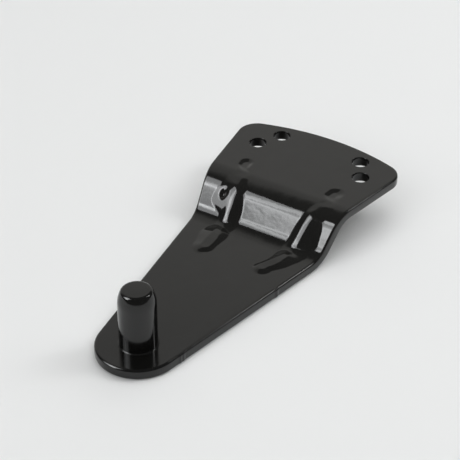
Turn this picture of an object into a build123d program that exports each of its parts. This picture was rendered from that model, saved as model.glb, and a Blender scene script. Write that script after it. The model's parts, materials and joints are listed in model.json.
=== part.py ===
from build123d import *
import os
from math import atan, cos, radians, sin, sqrt, tan

# Refrigerator door hinge: a pressed steel plate with a joggle across it and a riveted pin at its nose.
# The origin is on the pin's axis at the plate's top face. The plate runs back along +Y, and +Z is up.
# Sizes are in millimetres and degrees.

# Plate outline, seen from above
plate_thickness = 3.0
nose_radius = 11.35  # about the pin's axis
side_flare = 9.25  # each straight side leans out by this much
plate_reach = 97.45  # pin axis to the middle of the back edge
back_edge_radius = 69.3
back_corner_radius = 6.0
edge_radius = 0.4  # rolled-over top edge of the blanked outline

# Joggle, seen from the side
joggle_start = 52.7  # pin axis to the end of the lower flat
joggle_rise = 10.0
joggle_angle = 50.0
bend_radius = 7.0  # inside of both bends

# Pressed ribs: round beads that stand up from the lower flat and the bevel, and turn to grooves above
rib_hollow_radius = 5.5
rib_height = 1.1  # bead over the sheet
groove_depth = 0.4
rib_inset = 9.05  # rib's line to the plate's side
rib_shift = 1.2  # the pair sits this far to the right of the plate's middle
bead_reach = 6.7  # middle of the bead's front end to the end of the lower flat
groove_reach = 3.0  # start of the upper flat to the middle of the groove's back end
bead_lip = 0.2  # the bead ends this far above the groove's floor
bead_top_radius = 4.0  # rounds the bead into its top
hollow_top_radius = 2.5  # rounds the hollow behind the bead into its roof
hollow_gap = 0.6  # the hollow's roof stays this far below the groove's boss
crest_margin = 0.1  # keeps the limits of bead and hollow clear of their crests

# Screw holes in the upper flat, two in each row
hole_diameter = 5.0
back_hole_inset = 6.45  # back row to the middle of the back edge
back_hole_spacing = 26.2
hole_row_pitch = 7.0  # front row to back row
front_hole_spacing = 34.0

# Pin, riveted through the plate
pin_diameter = 10.0
pin_height = 16.8
pin_lead_height = 2.8
pin_lead_diameter = 8.2
pin_rim_radius = 0.7
spigot_diameter = 7.0
rivet_diameter = 10.4
rivet_angle = 90.0
rivet_recess = 0.1  # the rivet's end stays inside the plate's underside
spigot_clearance = 0.05

# Blank that the plate is cut from
blank_front = -2 * nose_radius
blank_back = plate_reach + nose_radius
blank_half_width = plate_reach
blank_depth = plate_reach

# Joggle lines: side views of surfaces that follow the sheet
slope = radians(joggle_angle)
lower_corner = joggle_start + bend_radius * tan(slope / 2)
outer_bend_radius = bend_radius + plate_thickness
upper_flat_start = lower_corner + joggle_rise / tan(slope) + outer_bend_radius * tan(slope / 2)


def block_below(depth, upper_level, upper_radius):
    """Block that fills all below a joggle at a depth under the sheet's top face, up to an upper level."""
    corner = lower_corner + depth * tan(slope / 2)
    front = (blank_front, -depth)
    back = (blank_back, upper_level)
    bevel_top = (corner + (upper_level + depth) / tan(slope), upper_level)
    with BuildPart() as block:
        with BuildSketch(Plane.YZ):
            with BuildLine():
                FilletPolyline(
                    front,
                    (corner, -depth),
                    bevel_top,
                    back,
                    radius=[bend_radius + depth, upper_radius],
                )
                Polyline(front, (blank_front, -blank_depth), (blank_back, -blank_depth), back)
            make_face()
        extrude(amount=blank_half_width, both=True)
    return block.part


groove_floor = joggle_rise - groove_depth
hollow_depth = plate_thickness - rib_height
hollow_roof = groove_floor - plate_thickness - hollow_gap
below_top_face = block_below(0, joggle_rise, outer_bend_radius)
below_underside = block_below(plate_thickness, joggle_rise - plate_thickness, bend_radius)
below_bead_crest = block_below(-rib_height - crest_margin, groove_floor + bead_lip, bead_top_radius)
below_hollow_roof = block_below(hollow_depth - crest_margin, hollow_roof, hollow_top_radius)

# Each rib lies in an upright plane that runs along the plate's side
flare = radians(side_flare)
rib_line = (nose_radius - rib_inset) / cos(flare)
rib_plane = Plane(
    origin=(rib_line + rib_shift, 0, 0),
    x_dir=(sin(flare), cos(flare), 0),
    z_dir=(cos(flare), -sin(flare), 0),
)
rib_mirror = Plane.YZ.offset(rib_shift)
rib_slope = atan(tan(slope) * cos(flare))
rib_outer_radius = rib_hollow_radius + plate_thickness
bead_depth = rib_outer_radius - rib_height  # bead's middle line below the sheet's top face
bead_bend_radius = bend_radius + bead_depth


def along_rib(distance):
    """Length along a rib's plane of a distance along the plate."""
    return distance / cos(flare)


def bead_bars(radius):
    """Pair of round bars under the lower flat and the bevel, with ball ends at the front."""
    corner = along_rib(lower_corner) + bead_depth * tan(rib_slope / 2)
    climb = joggle_rise + rib_outer_radius + bead_depth
    with BuildPart() as bars:
        with BuildLine(rib_plane) as middle:
            FilletPolyline(
                (along_rib(joggle_start - bead_reach), -bead_depth),
                (corner, -bead_depth),
                (corner + climb / tan(rib_slope), climb - bead_depth),
                radius=bead_bend_radius,
            )
        with BuildSketch(Plane(origin=middle.line @ 0, z_dir=middle.line % 0)):
            Circle(radius)
        sweep()
        with Locations(middle.line @ 0):
            Sphere(radius)
        mirror(about=rib_mirror)
    return bars.part


def groove_bars(radius):
    """Pair of level round bars over the upper flat, with a ball at the back end."""
    level = groove_floor + rib_hollow_radius
    with BuildPart() as bars:
        with BuildLine(rib_plane) as middle:
            Line((along_rib(upper_flat_start + groove_reach), level), (along_rib(lower_corner), level))
        with BuildSketch(Plane(origin=middle.line @ 0, z_dir=middle.line % 0)):
            Circle(radius)
        sweep()
        with Locations(middle.line @ 0):
            Sphere(radius)
        mirror(about=rib_mirror)
    return bars.part


# Beads: the thick bars between the sheet's underside and the bead's crest
with BuildPart() as beads:
    add(bead_bars(rib_outer_radius))
    add(below_bead_crest, mode=Mode.INTERSECT)
    add(below_underside, mode=Mode.SUBTRACT)

# Hollows behind the beads
with BuildPart() as hollows:
    add(bead_bars(rib_hollow_radius))
    add(below_hollow_roof, mode=Mode.INTERSECT)

# Bosses: the thick bars of the grooves, below the sheet's top face
with BuildPart() as bosses:
    add(groove_bars(rib_outer_radius))
    add(below_top_face, mode=Mode.INTERSECT)

# Outline of the plate, seen from above: nose arc, tangent sides and a round back edge
back_edge_centre = plate_reach - back_edge_radius
side_foot = (nose_radius * cos(flare), -nose_radius * sin(flare))
centre_to_side = nose_radius + back_edge_centre * sin(flare)
side_length = back_edge_centre * cos(flare) + sqrt(back_edge_radius**2 - centre_to_side**2)
back_corner = (side_foot[0] + side_length * sin(flare), side_foot[1] + side_length * cos(flare))

# Plate
with BuildPart() as hinge_plate:
    add(below_top_face)
    add(below_underside, mode=Mode.SUBTRACT)
    add(beads.part)
    add(bosses.part)
    add(hollows.part, mode=Mode.SUBTRACT)
    add(groove_bars(rib_hollow_radius), mode=Mode.SUBTRACT)

    # Blanked outline
    with BuildSketch(Plane.XY.offset(-blank_depth)) as outline:
        with BuildLine():
            CenterArc((0, 0), nose_radius, 180 + side_flare, 180 - 2 * side_flare)
            Line(side_foot, back_corner)
            ThreePointArc(back_corner, (0, plate_reach), (-back_corner[0], back_corner[1]))
            Line((-back_corner[0], back_corner[1]), (-side_foot[0], side_foot[1]))
        make_face()
        fillet(outline.vertices().group_by(Axis.Y)[-1], radius=back_corner_radius)
    extrude(amount=2 * blank_depth, mode=Mode.INTERSECT)
    walls = hinge_plate.faces().filter_by(
        lambda face: Axis(face.center(), face.normal_at()).is_normal(Axis.Z)
    )
    edge_loops = edges_to_wires(walls.edges().filter_by(Axis.Z, reverse=True))
    fillet(edge_loops.sort_by(Axis.Z)[-1].edges(), radius=edge_radius)

    # Screw holes
    back_row = plate_reach - back_hole_inset
    for spacing, row in ((back_hole_spacing, back_row), (front_hole_spacing, back_row - hole_row_pitch)):
        with Locations((spacing / 2, row, joggle_rise), (-spacing / 2, row, joggle_rise)):
            Hole(radius=hole_diameter / 2)

    # Rivet hole, countersunk from the underside
    with Locations(Location((0, 0, -plate_thickness), (180, 0, 0))):
        CounterSinkHole(
            radius=spigot_diameter / 2 + spigot_clearance,
            counter_sink_radius=rivet_diameter / 2 + spigot_clearance,
            counter_sink_angle=rivet_angle,
        )

# Pin: a turned shoulder pin whose spigot is upset into the countersink
rivet_level = -plate_thickness + rivet_recess
rivet_depth = (rivet_diameter - spigot_diameter) / 2 / tan(radians(rivet_angle / 2))
rivet_end_radius = rivet_diameter / 2 - rivet_recess * tan(radians(rivet_angle / 2))
with BuildPart() as hinge_pin:
    with BuildSketch(Plane.XZ) as half_section:
        with BuildLine():
            Polyline(
                (0, rivet_level),
                (rivet_end_radius, rivet_level),
                (spigot_diameter / 2, rivet_depth - plate_thickness),
                (spigot_diameter / 2, 0),
                (pin_diameter / 2, 0),
                (pin_diameter / 2, pin_height - pin_lead_height),
                (pin_lead_diameter / 2, pin_height),
                (0, pin_height),
                close=True,
            )
        make_face()
        fillet(half_section.vertices().sort_by(Axis.Y)[-2:].sort_by(Axis.X)[-1], radius=pin_rim_radius)
    revolve(axis=Axis.Z)

hinge_plate.part.label = "hinge_plate"
hinge_pin.part.label = "hinge_pin"

os.makedirs("parts", exist_ok=True)
export_step(hinge_plate.part, "parts/hinge_plate.step")
export_step(hinge_pin.part, "parts/hinge_pin.step")
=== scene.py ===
import json
from math import atan2, cos, radians, sin, sqrt, tan

import bmesh
import bpy
import numpy as np
from mathutils import Matrix, Vector


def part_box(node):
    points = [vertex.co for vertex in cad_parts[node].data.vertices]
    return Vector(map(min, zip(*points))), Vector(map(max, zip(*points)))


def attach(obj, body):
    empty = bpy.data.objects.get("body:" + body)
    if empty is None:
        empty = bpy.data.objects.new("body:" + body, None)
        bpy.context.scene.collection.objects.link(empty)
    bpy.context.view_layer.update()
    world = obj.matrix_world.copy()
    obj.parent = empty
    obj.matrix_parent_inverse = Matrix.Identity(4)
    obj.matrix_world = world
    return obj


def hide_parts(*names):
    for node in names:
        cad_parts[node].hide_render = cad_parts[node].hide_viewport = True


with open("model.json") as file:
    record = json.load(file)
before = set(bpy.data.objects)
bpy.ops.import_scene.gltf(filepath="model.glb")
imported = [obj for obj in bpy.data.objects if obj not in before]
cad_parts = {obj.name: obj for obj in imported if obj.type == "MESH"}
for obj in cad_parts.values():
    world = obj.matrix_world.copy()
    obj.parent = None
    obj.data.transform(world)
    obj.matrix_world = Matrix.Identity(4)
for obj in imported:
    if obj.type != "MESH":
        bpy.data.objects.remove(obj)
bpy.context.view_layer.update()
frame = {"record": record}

# Black-coated refrigerator door hinge: a pressed plate with a joggle and two ribs, and a riveted pin.
# Shapes are worked out in millimetres and put into the meshes in metres.
MM = 0.001

# Sizes read from the frame
MOUNTS = {mount["name"]: mount for mount in frame["record"]["mounts"]}
PLATE_LOW, PLATE_HIGH = (np.array(corner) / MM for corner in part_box("hinge_plate"))
PIN_LOW, PIN_HIGH = (np.array(corner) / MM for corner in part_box("hinge_pin"))
SHEET = -PLATE_LOW[2]
RISE = PLATE_HIGH[2]
REACH = PLATE_HIGH[1]
NOSE = -PLATE_LOW[1]
PIN_RADIUS = MOUNTS["door_pin"]["dims"]["r_mm"]
PIN_TOP = PIN_HIGH[2]
PIN_BOTTOM = PIN_LOW[2]
HOLE_RADIUS = MOUNTS["front_screws"]["dims"]["hole_r_mm"]

# Plate outline, as the solid has it: flare of the sides, and radii of the back edge and its corners
FLARE = radians(9.25)
BACK_RADIUS = 69.3
CORNER_RADIUS = 6.0

# Joggle, as the solid has it: end of the lower flat, slope of the bevel, and inside radius of both bends
JOGGLE_START = 52.7
JOGGLE_ANGLE = radians(50.0)
BEND = 7.0

# Softened edges of the coat: the outline's top edge by rows along the plate, then the others
EDGE_ROWS = np.array([-11.0, 0.0, 60.0, 85.0])
TOP_EDGE = np.array([0.8, 0.65, 0.8, 0.55])
UNDER_EDGE = 0.75
HOLE_TOP_EDGE = 0.12
HOLE_UNDER_EDGE = 0.5
SHARP_ANGLE = radians(40.0)  # edges that turn by more than this stay crisp in the shading

# Ribs by rows along the plate. The first column is the row. The others are the pair's shift to the right,
# each axis's distance from the pair's middle, half the flat crest, the widths of the flanks and the level of
# the crest. The flanks are inner left, inner right, outer left and outer right.
RIB_TABLE = np.array([
    (44.2, 0.20, 9.15, 1.2, 1.6, 1.6, 2.6, 1.7, 0.60),
    (46.0, 0.75, 9.60, 1.3, 1.2, 1.5, 3.2, 2.0, 0.65),
    (48.0, 1.10, 10.10, 1.2, 1.6, 1.6, 4.0, 2.6, 0.75),
    (50.0, 1.10, 10.60, 0.8, 2.9, 2.2, 4.2, 3.3, 0.80),
    (52.0, 1.00, 11.00, 0.4, 3.9, 2.8, 3.4, 4.6, 0.75),
    (54.1, 1.00, 11.20, 0.3, 3.4, 2.8, 2.6, 5.0, 0.54),
    (55.3, 1.10, 11.30, 0.3, 3.8, 3.0, 2.0, 4.4, 0.90),
    (57.0, 1.15, 11.50, 0.3, 4.0, 3.2, 2.4, 5.9, 2.80),
    (59.0, 1.20, 11.75, 0.3, 4.2, 3.3, 6.4, 5.5, 4.85),
    (60.6, 1.20, 12.05, 0.3, 3.8, 3.1, 6.2, 4.9, 6.50),
    (62.2, 1.20, 12.30, 0.3, 3.4, 2.5, 5.2, 4.2, 7.95),
    (63.5, 1.30, 12.50, 0.3, 3.0, 2.3, 4.4, 3.4, 8.85),
    (66.0, 1.80, 13.30, 0.4, 2.0, 2.0, 3.2, 3.0, 9.70),
    (69.0, 2.20, 13.90, 0.6, 1.6, 1.8, 1.7, 2.0, 9.93),
    (71.0, 0.55, 14.30, 0.7, 1.4, 1.8, 1.4, 2.0, 9.64),
    (73.2, 0.55, 14.60, 0.7, 1.4, 1.8, 1.4, 2.0, 9.56),
])
RIB_ROWS, RIB_SHIFT, RIB_AXIS, RIB_CREST = RIB_TABLE.T[:4]
RIB_INNER_LEFT, RIB_INNER_RIGHT, RIB_OUTER_LEFT, RIB_OUTER_RIGHT, RIB_LEVEL = RIB_TABLE.T[4:]
RIB_BLEND = np.interp(RIB_ROWS, [44.2, 53.0], [2.0, 0.4])  # width over which inner flank turns to outer
RIB_INNER_ROUND = 0.22  # share of an inner flank that each rounded end takes
RIB_OUTER_ROUND = 0.14  # the same for an outer flank
RIB_ROUNDING = 0.9  # reach of the bell that rounds the columns along the plate
RIB_MARGIN = 5.0  # the columns run on this far past the first and the last row
RIB_SAMPLES = 4001
RIB_NOSE_STRETCH = 1.05  # how much longer than round a rib's front end is
RIB_UNDER_SPREAD = 1.2  # added to the flanks' widths on the underside

# Dent beside the left rib: its middle from above, reach and depth
DENT_MIDDLE = (-14.0, 61.0)
DENT_REACH = 0.75
DENT_DEPTH = 1.1

# Runs of paint down the right edge, two near the nose and one before the ribs: rows, reaches and depths
RUN_ROWS = np.array([1.7, 2.8, 38.3])
RUN_REACH = np.array([0.32, 0.32, 0.45])
RUN_DEPTH = np.array([0.2, 0.2, 0.2])

# Pin: flat of its top, rounded rim, lean of the lead-in, bend below it, and the coat's fillet at the foot
PIN_FLAT = 3.2
PIN_RIM = 1.1
PIN_LEAN = 24.0  # degrees
PIN_BEND = 8.0
PIN_FOOT = 0.4
PIN_FOOT_END = 265.0  # degrees: the fillet ends just short of level

# Rivet in its 45 degree countersink, as the solid has it, with a broken edge
SPIGOT_RADIUS = 3.5
RIVET_DEPTH = 1.7
RIVET_CLEARANCE = 0.05
RIVET_EDGE = 0.1
RIVET_RING = 0.2  # narrow outer ring that keeps the rivet's end flat in the shading

# Grids: rows of the plate's skin, zones of close columns near the nose and at the ribs, and points per part
SPINE_END = 80.0
TOP_ROWS = 96
UNDER_ROWS = 44
NOSE_ZONE_END = 4.5
RIB_ZONE = (37.0, 77.0)
RIB_STEP = 0.25
NOSE_POINTS = 28
NOSE_ZONE_POINTS = 26
SIDE_POINTS = 20
BACK_ZONE_POINTS = 8
CORNER_POINTS = 14
BACK_POINTS = 20
ROUND_POINTS = 8
HOLE_TURNS = 64
RIVET_TURNS = 96
PIN_TURNS = 128
CUT_OVERLAP = 1.0  # a cutter reaches this far past the sheet
SEAM = 1e-4  # points nearer than this are merged
CUT_SEAM = 1e-3  # the same after the cuts

# Black coat: its tones, darker toward the pin's axis as painted shade, and gloss from the pin's axis back
# into the joggle, and noises by scale and detail
COAT_IOR = 1.5
# Painted shade: the nose tone is darker than the back tone, so the coat darkens toward the pin's axis
COAT_NOSE_TONE = (0.0048, 0.0048, 0.0045, 1)
COAT_BACK_TONE = (0.0100, 0.0098, 0.0090, 1)
COAT_SHADE_AND_GLOSS_REACH = 0.065  # metres from one tone to the other
COAT_BACK_GLOSS = -0.05  # change of roughness over that reach
SMUDGE_NOISE = (160, 4)
SMUDGE_SPREAD = (0.75, 1.25)
ROUGHNESS_NOISE = (90, 5)
ROUGHNESS_SPREAD = (0.10, 0.16)
NOISE_SPAN = (0.35, 0.7)  # values of a noise that are spread out
WAVE_NOISE = (260, 2)
WAVE_HEIGHT = 0.00003  # metres
PEEL_NOISE = (1100, 2)
PEEL_HEIGHT = 0.000003  # metres

# Camera fitted to the photograph, whose frame is square
EYE = Vector((192.917, -257.027, 259.617)) * MM
VIEW_AZIMUTH = radians(32.766)
VIEW_ELEVATION = radians(35.035)
VIEW_ROLL = radians(0.158)
FOCAL_PIXELS = 1622.23
FRAME_PIXELS = 460
CLIP_START = 0.01
CLIP_END = 20

# Floor, in metres
FLOOR_REACH = 3.0
FLOOR_TONE = (0.8, 0.81, 0.81, 1)
FLOOR_ROUGHNESS = 0.7
FLOOR_SPECULAR = 0.1

# Surround: its two tones, then the directions of sight along which it fades, with each fade's start and end
SURROUND_DARK = (0.10, 0.10, 0.10, 1)
SURROUND_PALE = (0.59, 0.585, 0.565, 1)
SLANT_WAY = (1, 0, 1)
SLANT_FADE = (0.40, 0.51)
BACK_WAY = (0, 1, 0)
BACK_FADE = (-0.15, 0.2)

# Lamps: the point they face, the window's colour, and its panes' shares of radiance from bottom to top
LAMP_TARGET = Vector((0, 0.055, 0))
WINDOW_COLOUR = (0.97, 0.99, 1.0)
NEAR_PANE = [
    (0.0, 1.0), (0.33, 0.95), (0.40, 0.43), (0.455, 0.43),
    (0.49, 1.0), (0.54, 1.2), (0.60, 0.7), (0.80, 0.45),
]
FAR_PANE = [(0.0, 0.5), (0.35, 0.55), (0.45, 0.75), (0.55, 0.75), (0.65, 0.5), (0.80, 0.45)]


def joggle(y):
    """Height and tilt of the plain sheet: a flat, a hollow arc, a straight bevel, a round arc and a flat."""
    outer = BEND + SHEET
    bevel_run = (RISE - (BEND + outer) * (1 - cos(JOGGLE_ANGLE))) / tan(JOGGLE_ANGLE)
    bevel_start = JOGGLE_START + BEND * sin(JOGGLE_ANGLE)
    bevel_end = bevel_start + bevel_run
    crown_end = bevel_end + outer * sin(JOGGLE_ANGLE)
    hollow = np.clip(y - JOGGLE_START, 0, BEND * sin(JOGGLE_ANGLE))
    crown = np.clip(crown_end - y, 0, outer * sin(JOGGLE_ANGLE))
    z_hollow = BEND - np.sqrt(BEND**2 - hollow**2)
    z_bevel = BEND * (1 - cos(JOGGLE_ANGLE)) + np.clip(y - bevel_start, 0, bevel_run) * tan(JOGGLE_ANGLE)
    z_crown = RISE - outer + np.sqrt(outer**2 - crown**2)
    height = np.where(y < bevel_start, z_hollow, np.where(y < bevel_end, z_bevel, z_crown))
    tilt = np.where(y < bevel_end, np.arcsin(hollow / BEND), np.arcsin(crown / outer))
    return height, tilt


def along_rows(column, y):
    """Value of a rib column along the plate: a broken line through the rows, averaged under a bell."""
    fine = np.linspace(RIB_ROWS[0] - RIB_MARGIN, RIB_ROWS[-1] + RIB_MARGIN, RIB_SAMPLES)
    half = int(RIB_ROUNDING / (fine[1] - fine[0]))
    bell = np.hanning(2 * half + 3)
    line = np.pad(np.interp(fine, RIB_ROWS, column), half + 1, mode="edge")
    return np.interp(y, fine, np.convolve(line, bell / bell.sum(), "valid"))


def straight_flank(t, bend):
    """Share of a rib's height left across a flank: a straight fall from 1 to 0, rounded at both ends."""
    t = np.clip(t, 0, 1)
    start = 1 - t**2 / (2 * bend * (1 - bend))
    finish = (1 - t) ** 2 / (2 * bend * (1 - bend))
    middle = 1 - (t - bend / 2) / (1 - bend)
    return np.where(t < bend, start, np.where(t > 1 - bend, finish, middle))


def rib_rise(x, y, spread=0.0):
    """How far the ribs lift or sink the sheet: the gap from sheet to crest, faded away from a rib's axis.

    Past the first and the last row the distance is taken from the end point, so that a rib ends round.
    """
    row = np.clip(y, RIB_ROWS[0], RIB_ROWS[-1])

    def at_row(column):
        """Value of a column at each point's row."""
        return along_rows(column, row)

    aside = x - at_row(RIB_SHIFT)
    across = np.abs(aside) - at_row(RIB_AXIS)
    past = np.where(y < row, (y - row) / RIB_NOSE_STRETCH, y - row)
    beyond = np.hypot(across, past) - at_row(RIB_CREST)
    inner = np.where(aside > 0, at_row(RIB_INNER_RIGHT), at_row(RIB_INNER_LEFT)) + spread
    outer = np.where(aside > 0, at_row(RIB_OUTER_RIGHT), at_row(RIB_OUTER_LEFT)) + spread
    inside = straight_flank(beyond / inner, RIB_INNER_ROUND)
    outside = straight_flank(beyond / outer, RIB_OUTER_ROUND)
    side = np.clip(0.5 + across / at_row(RIB_BLEND), 0, 1)
    return (at_row(RIB_LEVEL) - joggle(row)[0]) * (inside + (outside - inside) * side)


def arc(centre, radius, start, end, count):
    """Points of an arc and their outward directions, without the last one."""
    angle = np.linspace(start, end, count, endpoint=False)
    out = np.stack([np.cos(angle), np.sin(angle)], 1)
    return np.array(centre) + radius * out, out


def plate_outline():
    """Closed outline from above: nose arc, flared side, corner arc and back arc, then the mirror image."""
    back_centre = REACH - BACK_RADIUS
    side_out = np.array([cos(FLARE), -sin(FLARE)])
    side_way = np.array([sin(FLARE), cos(FLARE)])
    inset = NOSE - CORNER_RADIUS
    along = back_centre * cos(FLARE) + sqrt(
        (BACK_RADIUS - CORNER_RADIUS) ** 2 - (inset + back_centre * sin(FLARE)) ** 2
    )
    corner = inset * side_out + along * side_way
    corner_end = atan2(corner[1] - back_centre, corner[0])
    nose, nose_out = arc((0, 0), NOSE, -np.pi / 2, -FLARE, NOSE_POINTS)
    ends = [-NOSE * sin(FLARE), NOSE_ZONE_END, *RIB_ZONE, (NOSE * side_out + along * side_way)[1]]
    rows = np.concatenate([
        np.linspace(ends[0], ends[1], NOSE_ZONE_POINTS, endpoint=False),
        np.linspace(ends[1], ends[2], SIDE_POINTS, endpoint=False),
        np.arange(ends[2], ends[3], RIB_STEP),
        np.linspace(ends[3], ends[4], BACK_ZONE_POINTS, endpoint=False),
    ])
    side = NOSE * side_out + ((rows - NOSE * side_out[1]) / side_way[1])[:, None] * side_way
    turn, turn_out = arc(corner, CORNER_RADIUS, -FLARE, corner_end, CORNER_POINTS)
    back, back_out = arc((0, back_centre), BACK_RADIUS, corner_end, np.pi / 2, BACK_POINTS)
    half = np.concatenate([nose, side, turn, back])
    half_out = np.concatenate([nose_out, np.broadcast_to(side_out, side.shape), turn_out, back_out])
    tail = np.array([(0.0, REACH)])
    tail_out = np.array([(0.0, 1.0)])
    flip = np.array([-1.0, 1.0])
    points = np.concatenate([half, tail, half[:0:-1] * flip])
    outward = np.concatenate([half_out, tail_out, half_out[:0:-1] * flip])
    return points, outward


def half_width(y):
    """Half the plate's width where its sides are straight."""
    return NOSE / cos(FLARE) + y * tan(FLARE)


def top_face(x, y):
    """Point of the top face over a plan point: the joggle plus the ribs, less a bell-shaped dent."""
    away = np.hypot(x - DENT_MIDDLE[0], y - DENT_MIDDLE[1]) / DENT_REACH
    return np.stack([x, y, joggle(y)[0] + rib_rise(x, y) - DENT_DEPTH * np.exp(-(away**2))], -1)


def under_face(x, y):
    """Point of the underside: the plain joggle moved one sheet along its own normal, plus spread ribs."""
    height, tilt = joggle(y)
    y_under = y + SHEET * np.sin(tilt)
    x_under = x * half_width(y_under) / half_width(y)
    return np.stack([x_under, y_under, height - SHEET * np.cos(tilt) + rib_rise(x, y, RIB_UNDER_SPREAD)], -1)


def plate_surface():
    """Closed skin of the plate: rows run from the spine over the top, round the edge and back below.

    On the right, bell-shaped runs of paint stand out from the edge.
    """
    points, outward = plate_outline()
    zeros = np.zeros(len(points))
    spine = np.stack([zeros, np.clip(points[:, 1], 0, SPINE_END)], 1)
    bells = np.exp(-(((points[:, 1, None] - RUN_ROWS) / RUN_REACH) ** 2))
    run = bells @ RUN_DEPTH * (points[:, 0] > 0)
    points = points + run[:, None] * outward
    top_share = np.linspace(0, 1, TOP_ROWS)[:, None, None]
    under_share = np.linspace(0, 1, UNDER_ROWS)[:, None, None]
    top_edge = np.interp(points[:, 1], EDGE_ROWS, TOP_EDGE)[:, None]
    top_rim = points - top_edge * outward
    under_rim = points - UNDER_EDGE * outward
    top_plan = spine + top_share * (top_rim - spine)
    under_plan = under_rim + under_share * (spine - under_rim)
    top = top_face(top_plan[..., 0], top_plan[..., 1])
    under = under_face(under_plan[..., 0], under_plan[..., 1])
    tilt = joggle(points[:, 1])[1]
    up = np.stack([zeros, -np.sin(tilt), np.cos(tilt)], 1)
    out = np.column_stack([outward, zeros])
    turn = np.linspace(0, np.pi / 2, ROUND_POINTS)[:, None, None]
    top_round = top[-1] + top_edge * (np.sin(turn[1:]) * out - (1 - np.cos(turn[1:])) * up)
    under_round = under[0] + UNDER_EDGE * (np.cos(turn[:-1]) * out + (1 - np.sin(turn[:-1])) * up)
    return np.concatenate([top, top_round, under_round, under])


def lathe(profile, centre, turns):
    """Grid of a profile of radius and height turned about an upright axis."""
    angle = np.linspace(0, 2 * np.pi, turns, endpoint=False)
    radius, height = np.asarray(profile, float).T
    x = centre[0] + radius[:, None] * np.cos(angle)
    y = centre[1] + radius[:, None] * np.sin(angle)
    return np.stack([x, y, np.broadcast_to(height[:, None], x.shape)], -1)


def rounding(centre, radius, start, end):
    """Profile points of a round from one angle to another, in degrees."""
    angle = np.radians(np.linspace(start, end, ROUND_POINTS))
    return np.stack([centre[0] + radius * np.cos(angle), centre[1] + radius * np.sin(angle)], 1)


def pin_surface():
    """Skin of the turned pin: flat top, rim, lead-in cone, bend, straight wall, foot fillet and rivet."""
    lean = radians(PIN_LEAN)
    rim = rounding((PIN_FLAT, PIN_TOP - PIN_RIM), PIN_RIM, 90, PIN_LEAN)
    lead_foot = rim[-1, 1] - (PIN_RADIUS - rim[-1, 0]) / tan(lean)
    bend_start = lead_foot - PIN_BEND * tan(lean / 2)
    rivet_top = RIVET_DEPTH - SHEET
    rivet_foot = PIN_BOTTOM + RIVET_EDGE
    rivet_radius = SPIGOT_RADIUS + rivet_top - rivet_foot
    end_radius = rivet_radius - RIVET_EDGE
    profile = np.concatenate([
        [(0, PIN_TOP)],
        rim,
        rounding((PIN_RADIUS - PIN_BEND, bend_start), PIN_BEND, PIN_LEAN, 0),
        rounding((PIN_RADIUS + PIN_FOOT, PIN_FOOT), PIN_FOOT, 180, PIN_FOOT_END),
        [(SPIGOT_RADIUS, 0), (SPIGOT_RADIUS, rivet_top), (rivet_radius, rivet_foot)],
        [(end_radius, PIN_BOTTOM), (end_radius - RIVET_RING, PIN_BOTTOM), (0, PIN_BOTTOM)],
    ])
    return lathe(profile, (0, 0), PIN_TURNS)


def screw_hole_cutter(centre):
    """Cutter for a screw hole with rounded rims: a straight wall, and a flare at the top and the bottom."""
    low = RISE - SHEET
    top_flare = HOLE_RADIUS + HOLE_TOP_EDGE
    under_flare = HOLE_RADIUS + HOLE_UNDER_EDGE
    profile = np.concatenate([
        [(0, low - CUT_OVERLAP), (under_flare, low - CUT_OVERLAP)],
        rounding((under_flare, low + HOLE_UNDER_EDGE), HOLE_UNDER_EDGE, 270, 180),
        rounding((top_flare, RISE - HOLE_TOP_EDGE), HOLE_TOP_EDGE, 180, 90),
        [(top_flare, RISE + CUT_OVERLAP), (0, RISE + CUT_OVERLAP)],
    ])
    return lathe(profile, centre, HOLE_TURNS)


def rivet_hole_cutter():
    """Cutter for the pin's hole: a straight wall that opens downwards into a 45 degree countersink."""
    hole = SPIGOT_RADIUS + RIVET_CLEARANCE
    sink = hole + RIVET_DEPTH
    profile = [
        (0, -SHEET - CUT_OVERLAP),
        (sink, -SHEET - CUT_OVERLAP),
        (sink, -SHEET),
        (hole, -SHEET + RIVET_DEPTH),
        (hole, CUT_OVERLAP),
        (0, CUT_OVERLAP),
    ]
    return lathe(profile, (0, 0), RIVET_TURNS)


def screw_places():
    """Middles of the screw holes from above, two for each bolt pattern of the record."""
    places = []
    for name in ("front_screws", "back_screws"):
        x, y = (value / MM for value in MOUNTS[name]["pos_m"][:2])
        half = MOUNTS[name]["dims"]["spacing_x_mm"] / 2
        places += [(x - half, y), (x + half, y)]
    return places


def weld(mesh, distance):
    """Merges points that lie together, drops faces without area and turns the faces outwards."""
    work = bmesh.new()
    work.from_mesh(mesh)
    bmesh.ops.remove_doubles(work, verts=work.verts, dist=distance * MM)
    bmesh.ops.dissolve_degenerate(work, edges=work.edges, dist=distance * MM)
    bmesh.ops.recalc_face_normals(work, faces=work.faces)
    work.to_mesh(mesh)
    work.free()
    mesh.shade_smooth()


def closed_mesh(name, grid):
    """Mesh of a grid of points that closes round its columns, with its poles and seams merged."""
    rows, columns = grid.shape[:2]
    index = np.arange(rows * columns).reshape(rows, columns)
    right = np.roll(index, -1, axis=1)
    faces = np.stack([index[:-1], index[1:], right[1:], right[:-1]], -1).reshape(-1, 4)
    mesh = bpy.data.meshes.new(name)
    mesh.from_pydata((grid.reshape(-1, 3) * MM).tolist(), [], faces.tolist())
    weld(mesh, SEAM)
    return mesh


def place(mesh, material):
    """Object of a finished mesh, at the origin, with its material."""
    piece = bpy.data.objects.new(mesh.name, mesh)
    bpy.context.scene.collection.objects.link(piece)
    piece.data.materials.append(material)
    return piece


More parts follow.
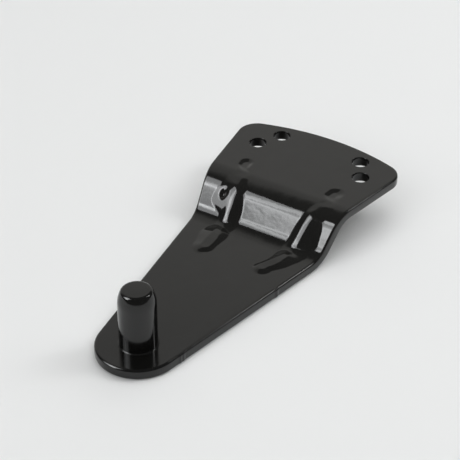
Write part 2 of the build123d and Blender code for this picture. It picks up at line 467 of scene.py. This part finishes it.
def cut(piece, cutters):
    """Takes closed cutter meshes out of a piece, then merges the cuts' points and marks sharp edges."""
    for number, grid in enumerate(cutters):
        tool = bpy.data.objects.new("tool", closed_mesh(f"tool_{number}", grid))
        bpy.context.scene.collection.objects.link(tool)
        step = piece.modifiers.new("cut", "BOOLEAN")
        step.operation = "DIFFERENCE"
        step.solver = "EXACT"
        step.object = tool
        bpy.context.view_layer.update()
        shaped = bpy.data.meshes.new_from_object(piece.evaluated_get(bpy.context.evaluated_depsgraph_get()))
        piece.modifiers.clear()
        piece.data = shaped
        bpy.data.objects.remove(tool)
    weld(piece.data, CUT_SEAM)
    piece.data.set_sharp_from_angle(angle=SHARP_ANGLE)
    piece.data.name = piece.name


def black_coat():
    """Gloss black coat over steel: orange-peel ripple over longer waves, and smudges in tone and gloss.

    From the pin's axis back into the joggle the coat grows a little glossier, and its colour a little paler:
    painted shade that darkens the coat toward the pin's axis.
    """
    material = bpy.data.materials.new("black_coat")
    material.use_nodes = True
    nodes = material.node_tree.nodes
    links = material.node_tree.links
    shader = nodes["Principled BSDF"]
    shader.inputs["IOR"].default_value = COAT_IOR
    where = nodes.new("ShaderNodeTexCoord")

    def noise(scale, detail):
        """Cloudy noise over the part."""
        texture = nodes.new("ShaderNodeTexNoise")
        texture.inputs["Scale"].default_value = scale
        texture.inputs["Detail"].default_value = detail
        links.new(where.outputs["Object"], texture.inputs["Vector"])
        return texture.outputs["Fac"]

    def ramp(value, low, high):
        """Noise spread between two values."""
        tone = nodes.new("ShaderNodeMapRange")
        tone.inputs["From Min"].default_value, tone.inputs["From Max"].default_value = NOISE_SPAN
        tone.inputs["To Min"].default_value = low
        tone.inputs["To Max"].default_value = high
        links.new(value, tone.inputs["Value"])
        return tone.outputs[0]

    def bump(value, height, under=None):
        """Ripple of a height in metres, over another ripple if there is one."""
        ripple = nodes.new("ShaderNodeBump")
        ripple.inputs["Strength"].default_value = 1.0
        ripple.inputs["Distance"].default_value = height
        links.new(value, ripple.inputs["Height"])
        if under is not None:
            links.new(under, ripple.inputs["Normal"])
        return ripple.outputs[0]

    spot = nodes.new("ShaderNodeSeparateXYZ")
    links.new(where.outputs["Object"], spot.inputs[0])
    along = nodes.new("ShaderNodeMapRange")
    along.inputs["From Min"].default_value = 0.0
    along.inputs["From Max"].default_value = COAT_SHADE_AND_GLOSS_REACH
    links.new(spot.outputs["Y"], along.inputs["Value"])
    # Painted shade: the coat's colour goes from a darker tone at the pin's axis to a paler one back in the
    # joggle, spread by random smudges
    painted_shade_and_smudge = nodes.new("ShaderNodeMath")
    painted_shade_and_smudge.operation = "MULTIPLY"
    links.new(along.outputs[0], painted_shade_and_smudge.inputs[0])
    links.new(ramp(noise(*SMUDGE_NOISE), *SMUDGE_SPREAD), painted_shade_and_smudge.inputs[1])
    tone = nodes.new("ShaderNodeMix")
    tone.data_type = "RGBA"
    tone.inputs["A"].default_value = COAT_NOSE_TONE
    tone.inputs["B"].default_value = COAT_BACK_TONE
    links.new(painted_shade_and_smudge.outputs[0], tone.inputs["Factor"])
    links.new(tone.outputs["Result"], shader.inputs["Base Color"])
    dull = nodes.new("ShaderNodeMath")
    dull.operation = "MULTIPLY_ADD"
    links.new(along.outputs[0], dull.inputs[0])
    dull.inputs[1].default_value = COAT_BACK_GLOSS
    links.new(ramp(noise(*ROUGHNESS_NOISE), *ROUGHNESS_SPREAD), dull.inputs[2])
    links.new(dull.outputs[0], shader.inputs["Roughness"])
    waves = bump(noise(*WAVE_NOISE), WAVE_HEIGHT)
    links.new(bump(noise(*PEEL_NOISE), PEEL_HEIGHT, waves), shader.inputs["Normal"])
    return material


def make_camera():
    """Camera at the photograph's viewing angle, with its roll."""
    camera = bpy.data.objects.new("camera", bpy.data.cameras.new("camera"))
    camera.data.lens = camera.data.sensor_width * FOCAL_PIXELS / FRAME_PIXELS
    back = Vector((
        sin(VIEW_AZIMUTH) * cos(VIEW_ELEVATION),
        -cos(VIEW_AZIMUTH) * cos(VIEW_ELEVATION),
        sin(VIEW_ELEVATION),
    ))
    level = (-back).cross(Vector((0, 0, 1))).normalized()
    up = level.cross(-back)
    right = cos(VIEW_ROLL) * level + sin(VIEW_ROLL) * up
    upright = back.cross(right)
    camera.matrix_world = Matrix.Translation(EYE) @ Matrix((right, upright, back)).transposed().to_4x4()
    camera.data.clip_start = CLIP_START
    camera.data.clip_end = CLIP_END
    bpy.context.scene.collection.objects.link(camera)
    bpy.context.scene.camera = camera


def make_floor():
    """Pale plain floor under the plate."""
    mesh = bpy.data.meshes.new("floor")
    far = FLOOR_REACH
    low = PLATE_LOW[2] * MM
    corners = [(-far, -far, low), (far, -far, low), (far, far, low), (-far, far, low)]
    mesh.from_pydata(corners, [], [(0, 1, 2, 3)])
    material = bpy.data.materials.new("floor")
    material.use_nodes = True
    shader = material.node_tree.nodes["Principled BSDF"]
    shader.inputs["Base Color"].default_value = FLOOR_TONE
    shader.inputs["Roughness"].default_value = FLOOR_ROUGHNESS
    shader.inputs["Specular IOR Level"].default_value = FLOOR_SPECULAR
    place(mesh, material)


def make_world():
    """Surround that is pale at the back up to a slant, higher on the left, and dark overhead and in front."""
    world = bpy.data.worlds.new("studio")
    bpy.context.scene.world = world
    world.use_nodes = True
    nodes = world.node_tree.nodes
    links = world.node_tree.links
    where = nodes.new("ShaderNodeTexCoord")

    def band(way, fade, low, high):
        """Smooth step between two values along a direction of sight."""
        along = nodes.new("ShaderNodeVectorMath")
        along.operation = "DOT_PRODUCT"
        along.inputs[1].default_value = way
        links.new(where.outputs["Generated"], along.inputs[0])
        step = nodes.new("ShaderNodeMapRange")
        step.interpolation_type = "SMOOTHSTEP"
        step.inputs["From Min"].default_value, step.inputs["From Max"].default_value = fade
        step.inputs["To Min"].default_value = low
        step.inputs["To Max"].default_value = high
        links.new(along.outputs["Value"], step.inputs["Value"])
        return step.outputs[0]

    both = nodes.new("ShaderNodeMath")
    both.operation = "MULTIPLY"
    links.new(band(SLANT_WAY, SLANT_FADE, 1.0, 0.0), both.inputs[0])
    links.new(band(BACK_WAY, BACK_FADE, 0.0, 1.0), both.inputs[1])
    tone = nodes.new("ShaderNodeMix")
    tone.data_type = "RGBA"
    tone.inputs["A"].default_value = SURROUND_DARK
    tone.inputs["B"].default_value = SURROUND_PALE
    links.new(both.outputs[0], tone.inputs["Factor"])
    links.new(tone.outputs["Result"], nodes["Background"].inputs["Color"])


def add_panel(name, azimuth, elevation, distance, size, radiance, profile=None, glossy=True, diffuse=True):
    """Rectangular soft lamp that faces the part, given by its direction, distance, size and radiance.

    Angles are in degrees and lengths in metres. A window pane has a profile, which gives shares of the
    radiance at places from the panel's bottom to its top. A panel can be left out of glossy or diffuse light.
    """
    data = bpy.data.lights.new(name, "AREA")
    data.shape = "RECTANGLE"
    data.size, data.size_y = size
    data.energy = radiance * np.pi * size[0] * size[1]
    if profile:
        data.color = WINDOW_COLOUR
        data.use_nodes = True
        nodes = data.node_tree.nodes
        links = data.node_tree.links
        where = nodes.new("ShaderNodeNewGeometry")
        split = nodes.new("ShaderNodeSeparateXYZ")
        links.new(where.outputs["Parametric"], split.inputs[0])
        shade = nodes.new("ShaderNodeValToRGB")
        for _ in profile[2:]:
            shade.color_ramp.elements.new(1.0)
        for stop, (height, share) in zip(shade.color_ramp.elements, profile):
            stop.position = height
            stop.color = (share, share, share, 1)
        links.new(split.outputs["Y"], shade.inputs["Fac"])
        links.new(shade.outputs["Color"], nodes["Emission"].inputs["Strength"])
    lamp = bpy.data.objects.new(name, data)
    a, e = radians(azimuth), radians(elevation)
    way = Vector((cos(a) * cos(e), sin(a) * cos(e), sin(e)))
    lamp.location = LAMP_TARGET + way * distance
    lamp.rotation_euler = way.to_track_quat("Z", "Y").to_euler()
    lamp.visible_camera = False
    lamp.visible_glossy = glossy
    lamp.visible_diffuse = diffuse
    bpy.context.scene.collection.objects.link(lamp)


def make_lamps():
    """Window of two panes and two small lamps for the reflections, and fills that show in no reflection."""
    window = {"elevation": 38, "distance": 1.0, "radiance": 9.3, "diffuse": False}
    add_panel("near_pane", azimuth=238, size=(0.29, 0.74), profile=NEAR_PANE, **window)
    add_panel("far_pane", azimuth=221.8, size=(0.28, 0.74), profile=FAR_PANE, **window)
    add_panel("side_lamp", azimuth=46, elevation=41.5, distance=1.0, size=(0.1, 0.24), radiance=12.0)
    add_panel("high_lamp", azimuth=46.5, elevation=55, distance=1.0, size=(0.05, 0.08), radiance=15.0)
    fill = {"distance": 1.5, "glossy": False}
    add_panel("front_fill", azimuth=300, elevation=40, size=(1.2, 1.2), radiance=1.0, **fill)
    add_panel("right_fill", azimuth=45, elevation=40, size=(0.9, 0.9), radiance=2.2, **fill)
    add_panel("back_fill", azimuth=92, elevation=55, size=(1.0, 1.0), radiance=1.9, **fill)
    add_panel("top_fill", azimuth=180, elevation=85, size=(1.4, 1.4), radiance=0.93, **fill)
    add_panel("left_fill", azimuth=248, elevation=38, size=(1.0, 1.0), radiance=1.55, **fill)


coat = black_coat()

plate = place(closed_mesh("pressed_plate", plate_surface()), coat)
cut(plate, [*map(screw_hole_cutter, screw_places()), rivet_hole_cutter()])
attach(plate, "root")
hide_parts("hinge_plate")

pin = place(closed_mesh("riveted_pin", pin_surface()), coat)
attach(pin, "root")
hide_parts("hinge_pin")

make_camera()
make_floor()
make_world()
make_lamps()

bpy.context.scene.view_settings.view_transform = "Standard"
